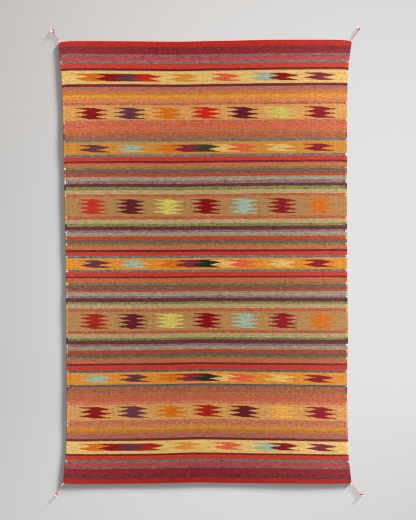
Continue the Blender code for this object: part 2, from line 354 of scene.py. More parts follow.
# %% Cut the underside into crossways strips
def split_underside(mesh):
    """Cuts the one large face below into strips between the sides, so that the pattern stays in place."""
    bm = bmesh.new()
    bm.from_mesh(mesh)
    rest = max(bm.faces, key=lambda face: len(face.verts))
    sides = {}
    key = bm.verts.layers.float_vector["weave_place"]
    for vert in rest.verts:
        share, height = vert[key].x, round(vert.co.y, 6)
        if share in (0.0, 1.0):
            sides.setdefault(share, []).append((height, vert))
    left, right = (sorted(sides[share], key=lambda pair: pair[0]) for share in (0.0, 1.0))
    for (_, a), (_, b) in list(zip(left, right))[1:-1]:
        if a in rest.verts[:] and b in rest.verts[:]:
            new, _ = bmesh.utils.face_split(rest, a, b)
            rest = max((rest, new), key=lambda face: face.calc_center_median().y)
    bmesh.ops.recalc_face_normals(bm, faces=bm.faces)
    bm.to_mesh(mesh)
    bm.free()


def lay_weave_map(mesh, across, down):
    """Notes each face corner's shares across the warps and down the picks, as the mesh's own map."""
    layer = mesh.uv_layers.active or mesh.uv_layers.new(name="weave")
    layer.name = "weave"
    layer.data.foreach_set("uv", np.column_stack([across, down]).astype(np.float32).ravel())


split_underside(cloth.data)
corners = np.empty(len(cloth.data.loops), dtype=np.int32)
cloth.data.loops.foreach_get("vertex_index", corners)
place = np.empty(len(cloth.data.vertices) * 3, dtype=np.float32)
cloth.data.attributes["weave_place"].data.foreach_get("vector", place)
place = place.reshape(-1, 3)[corners]
lay_weave_map(cloth.data, place[:, 0], place[:, 1])
cloth.data.attributes.remove(cloth.data.attributes["weave_place"])
bpy.ops.object.shade_smooth_by_angle(angle=SMOOTH_BELOW)
print(sum(len(face.vertices) - 2 for face in cloth.data.polygons), "triangles in the cloth")

# %% [markdown]
# ## The weft's turns along the sides
#
# Where a pick reaches the side it turns round the outer warp and goes back, so each side is a line of
# small beads of yarn. A tube with an even radius would look like piping. A curve's radius may change at
# every point, so one curve for each side, with four points to a bead, swells and narrows as yarn does.

# %% Make the two lines of turns
TURN_RADIUS = 1.45 * MM
TURN_SINK = 0.62
TURN_WAVING = 0.6
TURN_SWELL = 0.2 * MM
SWELL_CHANGE = 0.35
SWELL_RATES = (0.37, 0.051)
POINTS_PER_TURN = 4
TURN_PITCH = 2 * CLOTH_LENGTH / PICKS


def add_curve(name, lines, radius, sides=1, radii=None, cyclic=False):
    """A tube along each line of points, as one curve object. The radii are shares of the radius."""
    data = bpy.data.curves.new(name, "CURVE")
    data.dimensions = "3D"
    data.bevel_depth = radius
    data.bevel_resolution = sides
    data.use_fill_caps = True
    for line in lines:
        spline = data.splines.new("POLY")
        spline.points.add(len(line) - 1)
        spline.use_cyclic_u = cyclic
        spline.points.foreach_set("co", np.column_stack([line, np.ones(len(line))]).ravel())
        spline.points.foreach_set("radius", np.ones(len(line)) if radii is None else radii)
    made = bpy.data.objects.new(name, data)
    bpy.context.collection.objects.link(made)
    return made


def as_mesh(source):
    """The curve made into a mesh, with its caps closed."""
    bpy.ops.object.select_all(action="DESELECT")
    source.select_set(True)
    bpy.context.view_layer.objects.active = source
    bpy.ops.object.convert(target="MESH")
    made = bpy.context.object
    bpy.ops.object.mode_set(mode="EDIT")
    bpy.ops.mesh.select_all(action="SELECT")
    bpy.ops.mesh.remove_doubles(threshold=0.002 * MM)
    bpy.ops.mesh.normals_make_consistent(inside=False)
    bpy.ops.object.mode_set(mode="OBJECT")
    bpy.ops.object.shade_smooth_by_angle(angle=SMOOTH_BELOW)
    return made


def side_line(side, edge):
    """Points down one side of the cloth, in its rim, with each one's share of the way down."""
    count = round(CLOTH_LENGTH / TURN_PITCH * POINTS_PER_TURN)
    ups = np.linspace(0, 1, count + 1)
    x = side * reach_at(edge, (2 * ups - 1) * HALF_LENGTH)
    low, high = ends_at(x)
    y = low + (high - low) * ups
    y = np.clip(y, low + TURN_RADIUS, high - TURN_RADIUS)
    z = RIM + waving(x, y) * TURN_WAVING
    return np.stack([x - side * TURN_RADIUS * TURN_SINK, y, z], axis=1), ups


turns = {}
for place, side, edge in (("left", -1, LEFT_SIDE), ("right", 1, RIGHT_SIDE)):
    line, ups = side_line(side, edge)
    steps = np.arange(len(line))
    strength = 1 + SWELL_CHANGE * np.sin(steps * SWELL_RATES[0]) * np.sin(steps * SWELL_RATES[1])
    radii = 1 + TURN_SWELL / TURN_RADIUS * np.cos(2 * math.pi * steps / POINTS_PER_TURN) * strength
    turn = as_mesh(add_curve(f"weft_turns_{place}", [line], TURN_RADIUS, radii=radii))
    heights = np.array([turn.data.vertices[loop.vertex_index].co.y for loop in turn.data.loops])
    downs = 1 - np.interp(heights, line[:, 1], ups)
    across_share = np.full(len(downs), 0.5 / WARPS if side < 0 else 1 - 0.5 / WARPS)
    lay_weave_map(turn.data, across_share, downs - sway_at(across_share, downs))
    turns[place] = turn
    print(turn.name, len(turn.data.polygons), "faces")

# %% [markdown]
# ## The end cords
#
# Two red yarns are twined along each end of the cloth, to lock the last picks. A twist could be a bump on a
# plain tube, but the outline would stay straight. So each yarn is its own helix round the cord's middle
# line, worked out by a loop, and the two are joined as one piece.

# %% Twine the end cords
END_YARN_RADIUS = 0.86 * MM
END_TWIST = 8.5 * MM
POINTS_PER_TWIST = 10
END_CORD_POINTS = 400
END_CORD_WAVING = 0.5


def distances_along(line):
    """Each point's distance along a line, in metres."""
    steps = np.linalg.norm(np.diff(line, axis=0), axis=1)
    return np.concatenate([[0.0], np.cumsum(steps)])


def evened(line, step):
    """Points an equal step apart along a line."""
    runs = distances_along(line)
    places = np.linspace(0, runs[-1], max(2, round(runs[-1] / step)) + 1)
    return np.column_stack([np.interp(places, runs, line[:, i]) for i in range(3)])


def helix(line, offset, pitch, start_angle):
    """A line wound round another one at an offset from it, one turn for each pitch."""
    along = np.gradient(line, axis=0)
    along /= np.linalg.norm(along, axis=1)[:, None]
    sideways = np.cross(along, (0, 0, 1))
    sideways /= np.linalg.norm(sideways, axis=1)[:, None]
    upwards = np.cross(sideways, along)
    angle = start_angle + 2 * math.pi * distances_along(line) / pitch
    return line + offset * (np.cos(angle)[:, None] * sideways + np.sin(angle)[:, None] * upwards)


def cord_tip(end, side):
    """Where the cord along an end of the cloth stops, at its left for a side of -1 and its right for 1."""
    corner = end[0] if side < 0 else end[-1]
    return corner[0] * MM - side * END_CORD_INSET


def end_cord_line(side, end):
    """The middle line of the cord along one end of the cloth."""
    x = np.linspace(cord_tip(end, -1), cord_tip(end, 1), END_CORD_POINTS)
    y = side * (reach_at(end, x) - END_CORD_RADIUS)
    return np.stack([x, y, np.full(len(x), END_CORD_RADIUS) + waving(x, y) * END_CORD_WAVING], axis=1)


end_cords = {}
for place, side, end in (("top", 1, UPPER_END), ("bottom", -1, LOWER_END)):
    middle_line = evened(end_cord_line(side, end), END_TWIST / POINTS_PER_TWIST)
    offset = END_CORD_RADIUS - END_YARN_RADIUS
    yarns = [helix(middle_line, offset, END_TWIST, angle) for angle in (0.0, math.pi)]
    end_cords[place] = as_mesh(add_curve(f"end_cord_twist_{place}", yarns, END_YARN_RADIUS, sides=2))
    print(end_cords[place].name, len(end_cords[place].data.polygons), "faces")

# %% [markdown]
# ## The corner tassels
#
# The doubled edge yarns leave the cloth at each corner as a short cord of one red and one white ply, end in
# a knot, and fray out. A plain rod with a ball would do from far away. Here the plies are helices too, the
# knot is a real overhand knot, a trefoil curve pulled tight, and each free end is a lock of separate fibres
# that spread towards the tip.

# %% Lay out the tassels
# Places are in mm from the blanket's middle, and a white root's length is in mm along the cord.
Tassel = namedtuple("Tassel", "bends knot tips colours white_root")
TASSELS = {
    "top_left": Tassel(
        bends=((-460.6, 687.4), (-463.4, 693.4), (-468, 700), (-474, 709)), knot=(-478, 717),
        tips=((-479, 728), (-489, 725), (-489.5, 719.5)), colours=("red", "white", "white"),
        white_root=9,
    ),
    "top_right": Tassel(
        bends=((453.2, 692), (455, 698.5), (461.5, 707.5), (469, 717)), knot=(474, 726),
        tips=((479, 732), (470.5, 733)), colours=("red", "white"),
        white_root=7,
    ),
    "bottom_left": Tassel(
        bends=((-448.4, -692), (-453.5, -699.5), (-459.5, -708), (-465, -716)), knot=(-469, -723),
        tips=((-475.5, -731), (-470.5, -734), (-464.5, -728)), colours=("white", "white", "red"),
        white_root=16,
    ),
    "bottom_right": Tassel(
        bends=((453.4, -692.2), (459, -700), (467, -711), (476, -720)), knot=(481, -725),
        tips=((490, -726), (487, -731.5)), colours=("red", "white"),
        white_root=9,
    ),
}
print(len(TASSELS), "tassels with", sum(len(row.tips) for row in TASSELS.values()), "free ends")

# %% Trace the tassels' cords, knots and free ends
RED_PLY_RADIUS = 0.95 * MM
WHITE_PLY_RADIUS = 0.55 * MM
PLY_OFFSET = 0.6 * MM
PLY_TWIST = 4.8 * MM
CORD_LIFT = RED_PLY_RADIUS + PLY_OFFSET
WHITE_FROM = 3.0 * MM
CORD_LEAD = 3.4 * MM
POINTS_PER_PLY_TWIST = 14
STEPS_PER_BEND = 12
KNOT_SIZE = 1.25 * MM
KNOT_SHAPE = (0.62, 0.62, 0.8)
KNOT_TILT = 0.9
KNOT_YARN_RADIUS = 1.1 * MM
KNOT_POINTS = 60
KNOT_LIFT = 2.9 * MM
FREE_END_FROM = 0.8 * KNOT_LIFT
FREE_END_SHARE = 0.97
FREE_TIP_LIFT = 1.0 * MM
FIBRE_POINTS = 7
CORE_RADII = (0.5, 1.0, 1.5, 1.9, 1.7, 1.1, 0.3)
WHITE_FULLNESS = 1.45


def rounded(points, step):
    """A smooth line through the points, with points a step apart."""
    bends = np.array(points, dtype=float)
    tangents = np.gradient(bends, axis=0)
    fine = []
    for i in range(len(bends) - 1):
        for t in np.linspace(0, 1, STEPS_PER_BEND, endpoint=False):
            fine.append(cubic(bends[i], bends[i + 1], tangents[i], tangents[i + 1], t))
    return evened(np.array(fine + [bends[-1]]), step)


def knot_middle(row, height):
    """A point at a height over the middle of the knot."""
    return (row.knot[0] * MM, row.knot[1] * MM, height)


def tassel_line(row):
    """The middle line of a tassel's cord, from the tip of the end cord to the knot."""
    out, up = (math.copysign(1, value) for value in row.knot)
    end = UPPER_END if up > 0 else LOWER_END
    leads = [cord_tip(end, out) + out * GAP, cord_tip(end, out) + out * CORD_LEAD]
    points = [(x, up * (float(reach_at(end, x)) - END_CORD_RADIUS), CORD_LIFT) for x in leads]
    points += [(x * MM, y * MM, CORD_LIFT) for x, y in row.bends]
    return rounded(points + [knot_middle(row, KNOT_LIFT)], PLY_TWIST / POINTS_PER_PLY_TWIST)


def knot_line(row, turn):
    """A trefoil, pulled tight, that stands at the end of the cord."""
    t = np.linspace(0, 2 * math.pi, KNOT_POINTS, endpoint=False)
    flat = np.stack([np.sin(t) + 2 * np.sin(2 * t), np.cos(t) - 2 * np.cos(2 * t), -np.sin(3 * t)], axis=1)
    spin = np.array(Matrix.Rotation(turn, 3, "Z") @ Matrix.Rotation(-KNOT_TILT, 3, "X"))
    return flat * KNOT_SIZE * np.array(KNOT_SHAPE) @ spin.T + np.array(knot_middle(row, KNOT_LIFT))


def core_line(row, tip, fullness):
    """The middle of one free end, from inside the knot to its tip, high enough to lie on the surface."""
    start = np.array(knot_middle(row, FREE_END_FROM))
    end = np.array((tip[0] * MM, tip[1] * MM, FREE_TIP_LIFT))
    line = start + (end - start) * np.linspace(0, FREE_END_SHARE, FIBRE_POINTS)[:, None]
    line[:, 2] = np.maximum(line[:, 2], np.array(CORE_RADII) * fullness * MM)
    return line


for place, row in TASSELS.items():
    print("tassel cord", place, round(distances_along(tassel_line(row))[-1] / MM, 1), "mm")

# %% Spread the fibres of a free end
FIBRES = 26
FIBRE_RADIUS = 0.16 * MM
SPREAD = 1.3
SHORTEST = 0.75
NECK = 0.45
FLARE = 1.5
FLARE_POWER = 1.6
FIBRE_WAVE = 0.5
HALF_WAVES = 1.5
LOWEST_FIBRE = 0.15
LOCK_HEIGHT = 1.7


def lock_lines(row, tip, fullness, dice):
    """The fibres of one free end, from inside the knot to their spread tips on the surface."""
    start = Vector(knot_middle(row, FREE_END_FROM))
    end = Vector((tip[0] * MM, tip[1] * MM, FIBRE_RADIUS * 2))
    aside = Vector((start.y - end.y, end.x - start.x, 0)).normalized()
    lines = []
    for _ in range(FIBRES):
        spread, lift = fullness * dice.uniform(-SPREAD, SPREAD), dice.random()
        reach, wave = dice.uniform(SHORTEST, 1.0), dice.uniform(-1, 1)
        line = []
        for share in np.linspace(0, 1, FIBRE_POINTS):
            place = start.lerp(end, share * reach)
            width = (NECK + FLARE * share**FLARE_POWER) * MM
            swing = wave * FIBRE_WAVE * MM * math.sin(math.pi * share * HALF_WAVES)
            place += aside * (spread * width + swing)
            height = (LOWEST_FIBRE + LOCK_HEIGHT * lift * (1 - share / 2)) * MM
            place.z = max(FIBRE_RADIUS, place.z * (1 - share) + height)
            line.append(tuple(place))
        lines.append(line)
    return lines


print(FIBRES, "fibres in each free end")

# %% [markdown]
# ## Yarns
#
# Each yarn of the blanket is a named colour, and many stripes are woven from two: the weaver passes one and
# then the other. Passed in turn, two yarns show as alternate beads, because one lands on the even warps and
# the other on the odd ones. Carded together before spinning, they show as a heather. A colour for each
# stripe would look flat. So a yarn has a colour, an accent, and two shares: how beaded it is, and how
# heathered. Where the two cross at the sides, one lies on top, and its turns show as bright or dark dots.

# %% Name the yarns
Yarn = namedtuple("Yarn", "colour accent beads heather turn")


def dyed(red, green, blue):
    """A colour that is given as on a screen, in Blender's linear light."""
    parts = [value / 255 for value in (red, green, blue)]
    return tuple(v / 12.92 if v <= 0.04045 else ((v + 0.055) / 1.055) ** 2.4 for v in parts) + (1.0,)


def yarn(colour, accent, beads, heather, turn=None):
    """A yarn, from colours as on a screen. Its turns at the sides have its own colour if none is given."""
    return Yarn(dyed(*colour), dyed(*accent), beads, heather, dyed(*(turn or colour)))


YARNS = {
    "vermilion": yarn((188, 39, 26), (162, 43, 31), 0.1, 0.4),
    "plum heather": yarn((106, 35, 51), (138, 54, 57), 0.2, 0.7),
    "crimson": yarn((163, 43, 48), (108, 24, 30), 0.15, 0.6),
    "mist": yarn((98, 70, 78), (161, 124, 117), 0.7, 0.4),
    "coral red": yarn((191, 62, 57), (183, 88, 85), 0.1, 0.5),
    "teal": yarn((83, 96, 100), (157, 158, 142), 0.25, 0.4, (196, 214, 200)),
    "dark teal": yarn((70, 83, 91), (134, 140, 130), 0.25, 0.4, (196, 214, 200)),
    "scarlet": yarn((207, 61, 42), (174, 60, 42), 0.12, 0.45),
    "plum line": yarn((103, 28, 42), (138, 50, 57), 0.1, 0.4),
    "pale gold": yarn((225, 187, 109), (204, 160, 88), 0.1, 0.4),
    "dusty rose": yarn((201, 104, 82), (180, 124, 107), 0.3, 0.7),
    "copper ochre": yarn((212, 127, 54), (198, 131, 72), 0.1, 0.6),
    "marigold": yarn((238, 159, 54), (225, 146, 59), 0.1, 0.45),
    "salmon": yarn((231, 139, 78), (213, 139, 87), 0.2, 0.6),
    "rose red": yarn((189, 81, 70), (220, 147, 95), 0.45, 0.5, (226, 206, 180)),
    "old rose": yarn((208, 111, 81), (221, 148, 102), 0.4, 0.6, (226, 206, 180)),
    "peach": yarn((223, 162, 87), (198, 138, 85), 0.15, 0.5),
    "coral": yarn((219, 104, 70), (201, 109, 79), 0.2, 0.6),
    "copper brown": yarn((223, 128, 62), (163, 90, 76), 0.5, 0.8),
    "terracotta": yarn((207, 122, 62), (144, 80, 74), 0.5, 0.8, (110, 50, 66)),
    "orange gold": yarn((225, 145, 48), (197, 119, 46), 0.1, 0.45),
    "amber": yarn((212, 142, 53), (185, 116, 51), 0.1, 0.45),
    "bright gold": yarn((232, 148, 46), (203, 122, 44), 0.1, 0.45),
    "red": yarn((214, 65, 44), (158, 48, 33), 0.15, 0.5),
    "orange coral": yarn((204, 102, 59), (178, 108, 78), 0.25, 0.6),
    "olive": yarn((87, 101, 42), (166, 137, 86), 0.65, 0.5, (244, 226, 120)),
    "mauve brown": yarn((147, 100, 90), (98, 74, 60), 0.4, 0.9),
    "flame": yarn((198, 60, 18), (172, 84, 44), 0.1, 0.35, (255, 160, 44)),
    "grey sage": yarn((170, 171, 138), (139, 123, 114), 0.3, 0.9),
    "mauve rose": yarn((123, 71, 86), (178, 134, 123), 0.65, 0.5, (216, 220, 208)),
    "dark plum": yarn((91, 44, 52), (110, 63, 63), 0.2, 0.7),
    "moss": yarn((102, 109, 46), (171, 149, 89), 0.55, 0.6, (52, 48, 24)),
    "pale sage": yarn((191, 180, 122), (169, 137, 105), 0.3, 0.9),
    "ember": yarn((192, 68, 40), (178, 123, 79), 0.65, 0.5, (255, 176, 66)),
    "camel": yarn((189, 142, 82), (161, 116, 76), 0.25, 0.7),
}
LOZENGE_COLOURS = {
    "orange": (213, 111, 20), "dark red": (138, 11, 16), "slate purple": (101, 51, 65),
    "red": (204, 39, 27), "brick": (166, 32, 22), "poppy": (193, 47, 32), "ochre": (223, 144, 56),
    "coral": (227, 96, 64), "turquoise": (162, 179, 156), "peach": (233, 184, 114), "plum": (134, 40, 59),
    "maroon": (101, 24, 37), "yellow green": (211, 192, 93), "crimson": (143, 20, 32),
    "pine green": (60, 61, 42), "dark green": (38, 42, 30), "pale peach": (231, 179, 100),
    "pale yellow": (227, 186, 106), "yellow": (212, 194, 96), "gold yellow": (232, 167, 74),
}
LOZENGE_YARNS = {name: dyed(*colour) for name, colour in LOZENGE_COLOURS.items()}
print(len(YARNS), "stripe yarns and", len(LOZENGE_YARNS), "lozenge yarns")

# %% [markdown]
# ## The weft plan
#
# The order of the stripes mirrors about the middle band, as in most banded weaving: a border at each end,
# warm stripes on either side of the peach bands, and a set of thirteen narrow stripes between each gold
# band and its camel neighbour. A list of all the stripes would hide that order. So the plan names each set
# once, and says how tall in mm its stripes are wherever it is used. Shade is how light the dye lot is
# there, since no two lots match.

# %% Write the weft plan
Band = namedtuple("Band", "stripes heights shade")
BORDER = ("vermilion", "plum heather", "crimson", "mist", "coral red", "teal", "scarlet", "plum line")
WARM = ("dusty rose", "copper ochre", "marigold", "salmon", "rose red")
EARTHY = ("rose red", "coral", "copper brown", "terracotta", "teal")
LOWER_EARTHY = ("dark teal", "terracotta", "copper brown", "coral", "old rose")
LOWER_WARM = ("old rose", "salmon", "marigold", "copper ochre", "dusty rose")
NARROW = ("teal", "red", "plum line", "orange coral", "olive", "mauve brown", "flame", "grey sage",
          "mauve rose", "dark plum", "moss", "pale sage", "ember")
LOWER_NARROW = NARROW[:0:-1] + ("dark teal",)
WEFT_PLAN = (
    Band(BORDER, (15.9, 9.6, 14.3, 7.9, 12.8, 7.9, 15.0, 8.2), 1.09),
    Band(("pale gold", "plum line"), (41.1, 8.7), 1.12),
    Band(WARM, (13.3, 12.7, 10.6, 12.6, 8.6), 0.93),
    Band(("peach",), (47.7,), 1.03),
    Band(EARTHY, (8.6, 19.0, 12.9, 18.9, 7.4), 0.97),
    Band(("amber",), (40.1,), 1.04),
    Band(NARROW, (7.5, 13.3, 6.4, 12.8, 7.3, 15.5, 7.4, 12.0, 9.4, 10.3, 9.6, 13.3, 8.8), 1.05),
    Band(("camel",), (60.2,), 0.99),
    Band(NARROW[::-1], (10.1, 12.9, 7.8, 12.3, 7.1, 12.6, 8.2, 13.8, 6.0, 13.1, 6.4, 12.3, 7.3), 1.01),
    Band(("bright gold",), (37.3,), 1.0),
    Band(NARROW, (6.6, 13.7, 5.2, 14.6, 6.6, 15.2, 6.1, 12.7, 6.9, 12.1, 7.3, 13.0, 10.8), 0.99),
    Band(("camel",), (59.6,), 1.02),
    Band(LOWER_NARROW, (9.8, 12.9, 7.1, 13.1, 6.3, 12.5, 7.6, 13.6, 6.0, 13.9, 6.1, 15.3, 6.8), 0.93),
    Band(("orange gold",), (38.6,), 1.01),
    Band(LOWER_EARTHY, (6.8, 19.8, 13.8, 13.2, 8.4), 0.86),
    Band(("peach",), (48.6,), 0.95),
    Band(LOWER_WARM, (17.0, 5.0, 9.4, 10.7, 15.4), 0.76),
    Band(("plum line", "pale gold"), (7.2, 40.3), 1.07),
    Band(BORDER[::-1], (6.0, 14.5, 7.3, 12.9, 6.4, 17.4, 12.9, 15.2), 0.91),
)

Stripe = namedtuple("Stripe", "start end yarn shade band")


def laid_stripes():
    """The stripes down the cloth, each with its start and end in metres."""
    total = sum(sum(band.heights) for band in WEFT_PLAN)
    stretch = CLOTH_LENGTH / (total * MM)
    start, laid = 0.0, []
    for number, band in enumerate(WEFT_PLAN):
        for name, height in zip(band.stripes, band.heights):
            end = start + height * MM * stretch
            laid.append(Stripe(start, end, YARNS[name], band.shade, number))
            start = end
    return laid


stripes = laid_stripes()
print(len(stripes), "stripes,", round(stripes[-1].end, 4), "m in all")

# %% [markdown]
# ## The lozenges
#
# Nine bands carry a row of lozenges with serrated sides. They could be drawn as polygons, with every tooth
# a corner. But the tip of every tooth points left or right, and both sides of a lozenge step the same way,
# so its width stays the same while it zigzags down the band. That gives a rule: a lozenge is a straight
# upright bar in a place that slides left and right like a pleat. Only the bars' places are listed here, in
# mm from the blanket's middle, with the yarn of each.

# %% Chart the lozenges
Row = namedtuple("Row", "band motif lift lozenges")
Motif = namedtuple("Motif", "teeth height width reach tip slant")
TWO_TEETH = Motif(teeth=2, height=23.3, width=59.0, reach=20.0, tip=0.7, slant=0.003)
THREE_TEETH = Motif(teeth=3, height=36.3, width=60.5, reach=20.2, tip=1.2, slant=0.003)
FOUR_TEETH = Motif(teeth=4, height=46.9, width=57.5, reach=19.5, tip=1.2, slant=0.018)
ROWS = (
    Row(1, TWO_TEETH, 0.5, (
        (-362, "orange"), (-302, "dark red"), (-244, "slate purple"), (-188, "red"), (-69, "ochre"),
        (60, "coral"), (182, "turquoise"), (239, "dark red"), (314, "peach"), (353, "plum"),
    )),
    Row(3, THREE_TEETH, 2.3, (
        (-359, "dark red"), (-238, "slate purple"), (-120, "orange"), (-3, "red"), (114, "maroon"),
        (232, "yellow green"), (354, "crimson"),
    )),
    Row(5, TWO_TEETH, 2.0, (
        (-351, "slate purple"), (-234, "turquoise"), (-112, "orange"), (-58, "plum"), (-2, "pine green"),
        (55, "pale peach"), (112, "coral"), (228, "pale yellow"), (348, "crimson"),
    )),
    Row(7, FOUR_TEETH, -0.1, (
        (-355, "poppy"), (-236, "maroon"), (-118, "yellow"), (0, "dark red"), (116, "turquoise"),
        (235, "crimson"), (354, "orange"),
    )),
    Row(9, TWO_TEETH, 0.1, (
        (-346, "slate purple"), (-227, "turquoise"), (-111, "orange"), (-52, "plum"), (2, "dark green"),
        (56, "pale peach"), (112, "coral"), (234, "pale yellow"), (348, "crimson"),
    )),
    Row(11, FOUR_TEETH, 0.2, (
        (-350, "brick"), (-231, "maroon"), (-113, "yellow"), (2, "dark red"), (120, "turquoise"),
        (237, "crimson"), (358, "orange"),
    )),
    Row(13, TWO_TEETH, 0.2, (
        (-343, "turquoise"), (-224, "slate purple"), (-108, "orange"), (-51, "plum"), (4, "dark green"),
        (58, "pale peach"), (112, "coral"), (229, "pale yellow"), (349, "crimson"),
    )),
    Row(15, THREE_TEETH, 0.2, (
        (-348, "dark red"), (-230, "slate purple"), (-111, "orange"), (3, "brick"), (118, "maroon"),
        (237, "gold yellow"), (355, "crimson"),
    )),
    Row(17, TWO_TEETH, -0.2, (
        (-351, "orange"), (-291, "dark red"), (-235, "slate purple"), (-179, "brick"), (-65, "ochre"),
        (68, "coral"), (186, "turquoise"), (242, "dark red"), (317, "peach"), (359, "plum"),
    )),
)
TOUCHING = 64.0
UNDER_NEXT = 2.0
print(sum(len(row.lozenges) for row in ROWS), "lozenges in", len(ROWS), "rows")

# %% [markdown]
# ## Helpers for shader nodes
#
# A material is a small program made of nodes. Placing them one by one takes a page for each. These helpers
# add a node with its settings, and let plain sums of what nodes give out add the nodes for those sums. So
# the materials below read as recipes.

# %% Define what a node gives out
COLOUR, NUMBER = "NodeSocketColor", "NodeSocketFloat"
WHITE = (1.0, 1.0, 1.0, 1.0)


class Signal:
    """What a node gives out. A sum with it adds a node that works the sum out."""

    def __init__(self, socket):
        self.socket = socket
        self.tree = socket.id_data

    def __getitem__(self, key):
        """Another output of the same node."""
        return Signal(self.socket.node.outputs[key])

    def __add__(self, other):
        return calc("ADD", self, other)

    def __sub__(self, other):
        return calc("SUBTRACT", self, other)

    def __rsub__(self, other):
        return calc("SUBTRACT", other, self)

    def __mul__(self, other):
        return calc("MULTIPLY", self, other)

    def __gt__(self, other):
        """1 where this is greater, and 0 elsewhere."""
        return calc("GREATER_THAN", self, other)


print("signals can be added, subtracted, multiplied and compared")

# %% Define the node helpers
def fill(node, sockets):
    """Fills a node's sockets, with values or with links from other nodes."""
    for key, value in dict(sockets).items():
        if isinstance(value, Signal):
            value.tree.links.new(value.socket, node.inputs[key])
        else:
            node.inputs[key].default_value = value


def add_node(tree, kind, sockets=(), output=0, **settings):
    """Adds a node, makes its settings and fills its sockets. Gives one of its outputs."""
    made = tree.nodes.new(kind)
    for name, value in settings.items():
        setattr(made, name, value)
    fill(made, sockets)
    return Signal(made.outputs[output])


def tree_of(*values):
    """The tree that the first signal among the values belongs to."""
    return next(value.tree for value in values if isinstance(value, Signal))


def calc(operation, *values):
    """The result of a sum."""
    return add_node(tree_of(*values), "ShaderNodeMath", enumerate(values), operation=operation)


def mix(factor, first, second, blend="MIX"):
    """Two colours mixed."""
    tree, sockets = tree_of(factor, first, second), {0: factor, 6: first, 7: second}
    return add_node(tree, "ShaderNodeMix", sockets, 2, data_type="RGBA", blend_type=blend)


def lit(colour, light):
    """A colour made lighter or darker by a number."""
    grey = add_node(light.tree, "ShaderNodeCombineColor", {0: light, 1: light, 2: light})
    return mix(1.0, colour, grey, blend="MULTIPLY")


def point_at(x, y):
    """The point of a flat pattern that is at x and y."""
    return add_node(tree_of(x, y), "ShaderNodeCombineXYZ", {0: x, 1: y})


def random_at(x, y):
    """A number from 0 to 1 that is the same wherever x and y are."""
    sockets = {"Vector": point_at(x, y)}
    return add_node(tree_of(x, y), "ShaderNodeTexWhiteNoise", sockets, "Value", noise_dimensions="2D")


def noise(place, scale, detail, dimensions="3D"):
    """Soft noise from 0 to 1 at a place."""
    sockets = {"Vector": place, "Scale": scale, "Detail": detail}
    return add_node(place.tree, "ShaderNodeTexNoise", sockets, "Fac", noise_dimensions=dimensions)


def noise_at(x, y, scale=1.0, detail=2.0):
    """Soft noise from 0 to 1 in a flat pattern."""
    return noise(point_at(x, y), scale, detail, "2D")


def new_group(name, inputs, outputs):
    """A node group with named inputs and outputs, and the first thing that it is given."""
    tree = bpy.data.node_groups.new(name, "ShaderNodeTree")
    for in_out, sockets in (("INPUT", inputs), ("OUTPUT", outputs)):
        for label, kind in sockets.items():
            tree.interface.new_socket(label, in_out=in_out, socket_type=kind)
    return tree, Signal(tree.nodes.new("NodeGroupInput").outputs[0])


def finished_group(tree, results):
    """The group with its results linked to its outputs."""
    fill(tree.nodes.new("NodeGroupOutput"), results)
    print(tree.name, "group:", len(tree.nodes), "nodes")
    return tree


def use_group(tree, group, sockets):
    """A group placed in a material or in another group."""
    return add_node(tree, "ShaderNodeGroup", sockets, node_tree=group)


print("helpers ready")

# %% [markdown]
# ## The shape of the weave
#
# In a weft-faced cloth each warp shows a column of small ovals, one for each pick that passes over it, and
# the next column is half an oval lower. An image of a weave would repeat and blur. This group works out,
# for any place on the cloth, which warp and which pick it is on, and how high the yarn stands there.

# %% Build the weave group
WANDER = 1.2
WANDER_PER_WARP = 0.05
WANDER_PER_PICK = 0.02
BEAD_LEAN = 0.5
BEAD_ROUNDNESS = 2.6


def make_weave_group():
    """From warps across and picks down, the warp and pick at a place, the odd warps, and the relief."""
    tree, given = new_group("Weft-faced weave", {"Across": NUMBER, "Down": NUMBER},
                            {"Warp": NUMBER, "Pick": NUMBER, "Odd": NUMBER, "Relief": NUMBER})
    wander = noise_at(given["Across"] * WANDER_PER_WARP, given["Down"] * WANDER_PER_PICK)
    down = given["Down"] + (wander - 0.5) * WANDER
    warp = calc("FLOOR", given["Across"])
    odd = calc("FLOORED_MODULO", warp, 2.0)
    pick = calc("MULTIPLY_ADD", calc("FLOOR", calc("DIVIDE", down - odd + 1.0, 2.0)), 2.0, odd)
    aside = given["Across"] - warp - 0.5
    along = down - pick + aside * BEAD_LEAN
    bead = calc("MAXIMUM", 1.0 - along * along, 0.0)
    crown = 1.0 - aside * aside * BEAD_ROUNDNESS
    return finished_group(tree, {"Warp": warp, "Pick": pick, "Odd": odd, "Relief": bead * crown})


weave_group = make_weave_group()

# %% [markdown]
# ## The stripes as a node group
#
# A colour ramp holds 32 colours at most, and it is cut into 256 steps. One ramp for the whole blanket would
# be too coarse for its thin stripes. So the length is cut into eight sections with four ramps each: the
# yarns, their accents, their turns at the sides, and the two shares as red and green.

# %% Build the stripe group
SECTIONS = 8
SECTION_LENGTH = CLOTH_LENGTH / SECTIONS


def shaded(colour, shade):
    """A colour in another dye lot."""
    return tuple(value * shade for value in colour[:3]) + (1.0,)


def stripe_ramp(place, section, colour_of):
    """One section's stripes as a ramp with hard edges."""
    start, end = section * SECTION_LENGTH, (section + 1) * SECTION_LENGTH
    shown = [stripe for stripe in stripes if stripe.end > start and stripe.start < end]
    colour = add_node(place.tree, "ShaderNodeValToRGB", {0: place})
    ramp = colour.socket.node.color_ramp
    ramp.interpolation = "CONSTANT"
    ramp.elements[0].position = 0.0
    ramp.elements[0].color = colour_of(shown[0])
    ramp.elements.remove(ramp.elements[1])
    for stripe in shown[1:]:
        ramp.elements.new((stripe.start - start) / SECTION_LENGTH).color = colour_of(stripe)
    return colour


